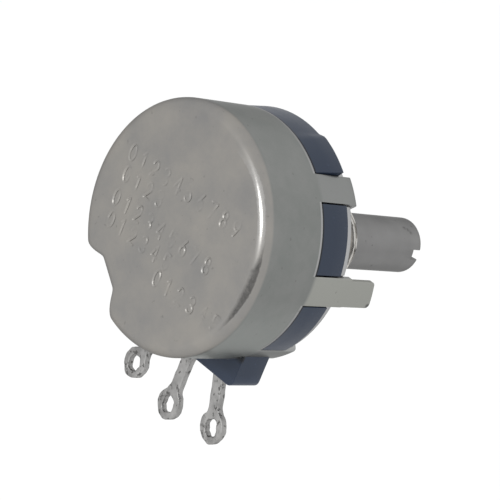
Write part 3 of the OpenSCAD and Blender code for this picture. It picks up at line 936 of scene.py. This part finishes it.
def make_base(material):
    outline = base_outline()
    at_rim = base_outline(0.0)
    angles = [degrees(atan2(y, x)) for x, y in outline]

    def round_ring(radius, z):
        return ring_at(radius, z, angles)

    def ring_of(points, z):
        return [(x, y, z) for x, y in points]

    recess_r, recess_z = 7.7, -2.65
    hole_r = 4.6
    spigot_r = COVER_R - SHEET - SEAT_GAP
    rings = [round_ring(hole_r, recess_z), round_ring(recess_r, recess_z),
             round_ring(recess_r, PLATE_BACK)]
    for a in spaced(90, 0, 30):
        shrink = BASE_EDGE * (1 - cos(radians(a)))
        rings.append(ring_of(inset(outline, shrink),
                             PLATE_BACK - BASE_EDGE * (1 - sin(radians(a)))))
    middle = [((ax + bx) / 2, (ay + by) / 2) for (ax, ay), (bx, by) in zip(outline, at_rim)]
    rings += [ring_of(middle, (PLATE_BACK + RIM) / 2), ring_of(at_rim, RIM + RIM_CHAMFER),
              ring_of(inset(at_rim, RIM_CHAMFER), RIM), round_ring(spigot_r, RIM),
              round_ring(spigot_r, BASE_INNER + 0.2),
              round_ring(spigot_r - 0.2, BASE_INNER), round_ring(hole_r, BASE_INNER)]
    piece = stack("base", rings, 30)
    return finish_piece(piece, "base", "housing", material)


# ---------------------------------------------------------------- front plate

def make_front_plate(material):
    edges = sorted(edge % 360 for edge in notch_edges())
    columns = []
    for a, b in zip(edges, edges[1:] + [edges[0] + 360]):
        columns += spaced(a + 0.02, b - 0.02, 2.0)
    outer = [NOTCH_R if in_notch(c) else PLATE_R for c in columns]
    hole = BUSH_R + 0.05
    emboss = 0.35
    section = [(hole, 0.0)]
    section += round_corner(emboss, (BOSS_R - emboss, -emboss), 90, 0, 4)
    section += round_corner(emboss, (BOSS_R + emboss, PLATE_FRONT + emboss), 180, 270, 4)
    under = [(BOSS_R - PLATE_T, PLATE_BACK), (BOSS_R - PLATE_T, -PLATE_T), (hole, -PLATE_T)]
    edge, back_edge = 0.18, 0.08
    rings = [ring_at(r, z, columns) for r, z in section]
    for a in spaced(90, 0, 30):
        rings.append([(*on_circle(r - edge * (1 - cos(radians(a))), c),
                       PLATE_FRONT - edge * (1 - sin(radians(a)))) for r, c in zip(outer, columns)])
    for a in spaced(0, -90, 45):
        rings.append([(*on_circle(r - back_edge * (1 - cos(radians(a))), c),
                       PLATE_BACK + back_edge * (1 + sin(radians(a))))
                      for r, c in zip(outer, columns)])
    rings += [ring_at(r, z, columns) for r, z in under]
    piece = stack("front_plate", rings, 40)
    return finish_piece(piece, "front_plate", "housing", material)


# ---------------------------------------------------------------- bushing and shaft

THREAD_PITCH = 25.4 / 32
THREAD_DEPTH = 0.42


def make_bushing(material):
    """Barrel with a cut thread, a relief at its foot and the flange behind the plate."""
    count = 112
    bore = SHAFT_R + 0.05
    relief_r = BUSH_R - 0.4
    flange_r, flange_back = BUSH_HIGH[0], -2.55
    chamfer = 0.45
    start, end = 0.85, BUSH_END - 0.05

    def thread_radius(phi, z):
        turn = (z / THREAD_PITCH - phi / 360) % 1.0
        ridge = min(1.0, max(0.0, 1.25 - abs(turn - 0.5) * 3.0))
        fade = eased(z, start, start + 0.6)
        limit = BUSH_R - max(0.0, z - (BUSH_END - chamfer))
        return min(limit, relief_r + (BUSH_R - THREAD_DEPTH - relief_r) * fade
                   + THREAD_DEPTH * ridge * fade)

    angles = [360 * i / count for i in range(count)]

    def ring(radius, z):
        return ring_at(radius, z, angles)

    rings = [ring(bore, BUSH_LOW[2]), ring(relief_r, BUSH_LOW[2]), ring(relief_r, flange_back),
             ring(flange_r, flange_back), ring(flange_r, -PLATE_T), ring(BUSH_R, -PLATE_T),
             ring(BUSH_R, -0.01), ring(relief_r, -0.01), ring(relief_r, start)]
    for z in spaced(start, end, THREAD_PITCH / 14)[1:]:
        rings.append([(*on_circle(thread_radius(a, z), a), z) for a in angles])
    rings += [ring(BUSH_R - chamfer - 0.02, BUSH_END), ring(bore + 0.12, BUSH_END),
              ring(bore, BUSH_END - 0.12)]
    piece = stack("bushing", rings, 50)
    return finish_piece(piece, "bushing", "housing", material)


SLOT_W = 1.2
SLOT_DEPTH = 1.4
REST_TURN = -4.9
SHAFT_ROUND = 0.4
NECK_END = BUSH_END + 0.07          # relief where the shaft leaves the bushing
NECK_LEN = 0.8
NECK_R = SHAFT_R - 0.25


def make_shaft(material):
    """Turned shaft with the ring groove and a flatted tail, and the slot cut in its end."""
    hub_front = -6.0
    groove_back, groove_front = -3.9, -3.3
    groove_r = SHAFT_R - 0.6
    tail_end = SHAFT_LOW[2]
    tail_r = 2.5
    section = [(0.0001, tail_end), (tail_r - 0.2, tail_end), (tail_r, tail_end + 0.2),
               (tail_r, hub_front), (SHAFT_R - 0.1, hub_front), (SHAFT_R, hub_front + 0.1),
               (SHAFT_R, groove_back), (groove_r, groove_back), (groove_r, groove_front),
               (SHAFT_R, groove_front)]
    section += [(SHAFT_R, NECK_END - NECK_LEN), (NECK_R, NECK_END - NECK_LEN + 0.02),
                (NECK_R, NECK_END - 0.02), (SHAFT_R, NECK_END)]
    section += [(SHAFT_R, z) for z in spaced(NECK_END + 1, SHAFT_END - SHAFT_ROUND - 0.5, 2.5)]
    section += round_corner(SHAFT_ROUND, (SHAFT_R - SHAFT_ROUND, SHAFT_END - SHAFT_ROUND), 0, 90, 4)
    section += [(1.2, SHAFT_END), (0.0001, SHAFT_END)]
    piece = turned("shaft", section, 96, 35)
    cut_box(piece, (SHAFT_R + 1, SLOT_W / 2), (SHAFT_END - SLOT_DEPTH, SHAFT_END + 1))
    flat, half = 0.76 * tail_r, 1.5
    for side in (-1, 1):
        cut_box(piece, (SHAFT_R + 1, half), (tail_end - 1, hub_front), side * (flat + half))
    piece.data.transform(Matrix.Rotation(radians(-REST_TURN), 4, "Y"))
    add_edge_round(piece, 0.06)
    return finish_piece(piece, "shaft", "turning_group", material)


def cut_box(piece, half, heights, shift=0.0):
    """Cuts a straight channel along x out of a piece."""
    x, y = half
    low, high = heights
    corners = [(sx * x, shift + sy * y, z) for z in (low, high)
               for sx, sy in ((-1, -1), (1, -1), (1, 1), (-1, 1))]
    faces = [(0, 1, 2, 3), (4, 5, 6, 7), (0, 1, 5, 4), (1, 2, 6, 5), (2, 3, 7, 6), (3, 0, 4, 7)]
    cutter = make_piece("cutter", corners, faces)
    cut = piece.modifiers.new("cut", "BOOLEAN")
    cut.operation = "DIFFERENCE"
    cut.solver = "EXACT"
    cut.object = cutter
    bake_modifiers(piece)
    bpy.data.objects.remove(cutter)


# ---------------------------------------------------------------- terminals

NECK_W = 1.6
EYE_W = 3.5
EYE_HOLE_W = 1.9
EYE_LONG = 0.3
EYE_POINT = 0.1                     # how far the eye's end draws in towards a point
TIN_EDGE = 0.13
TIN_WAVE = 0.1                      # unevenness of the tin round the outline
HOLE_WAVE = 0.2                     # unevenness of the tin in the eye


def terminal_outline(inner_r):
    """Outline and eye of a flat terminal that runs out along +x from the axis."""
    eye_r = EYE_W / 2
    eye_at = TERMINAL_TIP - eye_r - EYE_LONG
    shoulder = BLOCK_REACH + 1.1
    half_root, half_neck = NECK_W / 2 + 0.2, NECK_W / 2
    pad = NECK_W / 2 + 0.45
    flare = 0.9
    side = [(inner_r + pad * cos(radians(a)), pad * sin(radians(a)))
            for a in spaced(180, degrees(asin(half_root / pad)), 15)]
    side += [(x, half_root) for x in spaced(inner_r + pad + 0.2, shoulder - 0.15, 1.2)]
    side += [(shoulder, half_neck + 0.05), (shoulder + 0.3, half_neck)]
    meet = eye_at - sqrt(eye_r ** 2 - (half_neck + 0.25) ** 2)
    side += [(x, half_neck) for x in spaced(shoulder + 0.8, meet - flare, 0.6)]
    for t in spaced(0, 1, 0.25)[1:]:
        side.append((meet - flare + flare * t, half_neck + 0.25 * t * t))
    start = degrees(atan2(half_neck + 0.25, meet - eye_at))
    side += [(eye_at + eye_r * cos(radians(a)), eye_r * sin(radians(a)))
             for a in spaced(start, 90, 9)[1:]]
    for a in spaced(90, 0, 9):
        c, s = cos(radians(a)), sin(radians(a))
        squash = 1 - EYE_POINT * sin(radians(2 * a)) * 0.7
        side.append((eye_at + EYE_LONG + eye_r * c * squash, eye_r * s * squash))
    outline = side + [(x, -y) for x, y in reversed(side[1:-1])]
    hole_r = EYE_HOLE_W / 2
    hole = [(eye_at + EYE_LONG + hole_r * cos(radians(a)), hole_r * sin(radians(a)))
            for a in spaced(-90, 90, 12)]
    hole += [(eye_at + hole_r * cos(radians(a)), hole_r * sin(radians(a)))
             for a in spaced(90, 270, 12)]
    return outline[::-1], hole


def slab_with_hole(name, outline, hole, low, high, edge, place):
    """A flat solid with a hole, its edges rounded, each point moved by place."""
    points, faces = [], []
    caps = {}
    for loop, turn in ((outline, 1), (hole, -1)):
        rings = []
        for a in spaced(-90, 90, 22.5):
            amount = edge * (1 - cos(radians(a)))
            z = (low + edge if a < 0 else high - edge) + edge * sin(radians(a))
            moved = inset(loop, amount * turn)
            start = len(points)
            points += [place(x, y, z) for x, y in moved]
            rings.append((start, moved))
        size = len(loop)
        for (a, _), (b, _) in zip(rings, rings[1:]):
            faces += [(a + i, a + (i + 1) % size, b + (i + 1) % size, b + i) for i in range(size)]
        caps.setdefault("low", []).append(rings[0])
        caps.setdefault("high", []).append(rings[-1])
    for parts in caps.values():
        index = [start + i for start, loop in parts for i in range(len(loop))]
        loops = [[Vector((x, y, 0)) for x, y in loop] for _, loop in parts]
        faces += [tuple(index[v] for v in tri) for tri in tessellate_polygon(loops)]
    return make_piece(name, points, faces, 40)


def uneven(loop, amount, seed):
    """A loop moved inwards here and there, as far as amount, past the end of the block."""
    moved = []
    for (x, y), (in_x, in_y) in zip(loop, inset(loop, amount)):
        share = eased(x, BLOCK_REACH + 0.3, BLOCK_REACH + 1.5)
        share *= min(1.0, max(0.0, 0.5 + noise.noise(Vector((x * 1.7, y * 1.7, seed)))))
        moved.append((x + (in_x - x) * share, y + (in_y - y) * share))
    return moved


def make_terminal(node, side, inner_r, material):
    """A flat terminal; side is 1, 0 or -1, and inner_r is where its tail ends in the base."""
    outline, hole = [anticlockwise(loop) for loop in terminal_outline(inner_r)]
    outline = uneven(outline, TIN_WAVE, side * 3.1)
    hole = uneven(hole, HOLE_WAVE, side * 3.1 + 7)
    angle = radians(-90 + side * TERMINAL_PITCH)

    def place(x, y, z):
        return (x * cos(angle) - y * sin(angle), x * sin(angle) + y * cos(angle), z)

    piece = slab_with_hole(node, outline, hole, TERMINAL_UNDER, TERMINAL_TOP, TIN_EDGE, place)
    return finish_piece(piece, node, "housing", material)


def anticlockwise(loop):
    area = sum(a[0] * b[1] - b[0] * a[1] for a, b in zip(loop, loop[1:] + loop[:1]))
    return loop if area > 0 else loop[::-1]


# ---------------------------------------------------------------- hidden pieces

def finish_inside():
    """Gives each CAD node that stays its own finish."""
    carbon = pressed_carbon("pressed_carbon")
    silver = plain_metal("silvered_brass", (0.62, 0.58, 0.48, 1.0), 0.35)
    clip = plain_metal("spring_steel", (0.16, 0.16, 0.17, 1.0), 0.4)
    finishes = {
        "insulating_disc": fibre_sheet("pressed_fibre"),
        "thrust_washer": plain_metal("washer_brass", (0.55, 0.42, 0.2, 1.0), 0.35),
        "retaining_ring": clip,
        "push_nut": clip,
        "rotor": moulding("rotor_moulding", (0.03, 0.026, 0.022, 1.0),
                          (0.06, 0.05, 0.042, 1.0), 0.5),
        "contact_spring": plain_metal("spring_bronze", (0.55, 0.33, 0.15, 1.0), 0.3),
        "track_brush": carbon,
        "collector_brush": carbon,
        "resistance_track": carbon,
        "collector_ring": silver,
        "rivet_left": silver,
        "rivet_middle": silver,
        "rivet_right": silver,
    }
    for node, material in finishes.items():
        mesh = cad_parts[node].data
        mesh.materials.clear()
        mesh.materials.append(material)


# ---------------------------------------------------------------- studio

CAMERA_AT = (-0.137657, 0.158222, 0.061338)
CAMERA_FORWARD = (0.63238922, -0.71792938, -0.29096612)
CAMERA_UP = (0.46274243, 0.04887141, 0.88514464)
FLOOR_SIZE, FLOOR_DROP = 3.0, -0.12


def make_camera():
    camera = bpy.data.objects.new("camera", bpy.data.cameras.new("camera"))
    bpy.context.scene.collection.objects.link(camera)
    forward = Vector(CAMERA_FORWARD).normalized()
    up = Vector(CAMERA_UP).normalized()
    right = forward.cross(up).normalized()
    up = right.cross(forward)
    turn = Matrix((right, up, -forward)).transposed()
    camera.matrix_world = Matrix.Translation(CAMERA_AT) @ turn.to_4x4()
    camera.data.lens = 145.5
    camera.data.sensor_width = 36
    camera.data.clip_start = 0.005
    camera.data.clip_end = 20
    bpy.context.scene.camera = camera


def area_light(name, place, aim, size, power):
    light = bpy.data.lights.new(name, "AREA")
    light.shape = "RECTANGLE"
    light.size, light.size_y = size
    light.energy = power
    lamp = bpy.data.objects.new(name, light)
    bpy.context.scene.collection.objects.link(lamp)
    lamp.location = place
    direction = Vector(aim) - Vector(place)
    lamp.rotation_euler = direction.to_track_quat("-Z", "Y").to_euler()


def make_floor():
    """A plain pale floor under the part."""
    size, drop = FLOOR_SIZE, FLOOR_DROP
    mesh = bpy.data.meshes.new("floor")
    corners = [(-size, -size, drop), (size, -size, drop), (size, size, drop), (-size, size, drop)]
    mesh.from_pydata(corners, [], [(0, 1, 2, 3)])
    sheet = bpy.data.objects.new("floor", mesh)
    bpy.context.scene.collection.objects.link(sheet)
    f = Finish("pale_floor")
    cloud = f.noise(3.0)
    mesh.materials.append(f.shade(
        Base_Color=f.blend(cloud, (0.93, 0.93, 0.93, 1.0), (0.95, 0.95, 0.95, 1.0)),
        Roughness=0.9, Specular_IOR_Level=0.0))


def make_light():
    world = bpy.data.worlds.new("studio")
    bpy.context.scene.world = world
    world.use_nodes = True
    world.node_tree.nodes["Background"].inputs["Color"].default_value = (1, 1, 1, 1)
    world.node_tree.nodes["Background"].inputs["Strength"].default_value = 1.07
    area_light("back_light", (-0.045, 0.5, 0.095), (0, 0.01, 0), (0.17, 0.1), 0.55)


# ---------------------------------------------------------------- make everything

bpy.context.scene.view_settings.view_transform = "Standard"
make_camera()
make_floor()
make_light()

make_cover(plated_sheet("cover_plating", 0.26, 0.025, 0.36, 0.80))
make_base(moulding("base_phenolic", (0.017, 0.027, 0.048, 1.0),
                   (0.023, 0.033, 0.056, 1.0), 0.45))
make_front_plate(plated_sheet("plate_plating", 0.24, 0.004, 0.34, edge_highlight_from=PLATE_R - 0.2))
make_bushing(turned_metal("bushing_plating", 0.5, 0.03, 0.22))
make_shaft(turned_metal("shaft_steel", 0.225, 0.004, 0.38, dents=SHAFT_NICKS))
tin = tinned("terminal_tin", 0.31)
make_terminal("terminal_left", 1, 11.4, tin)
make_terminal("terminal_middle", 0, 5.8, tin)
make_terminal("terminal_right", -1, 11.4, tin)
finish_inside()
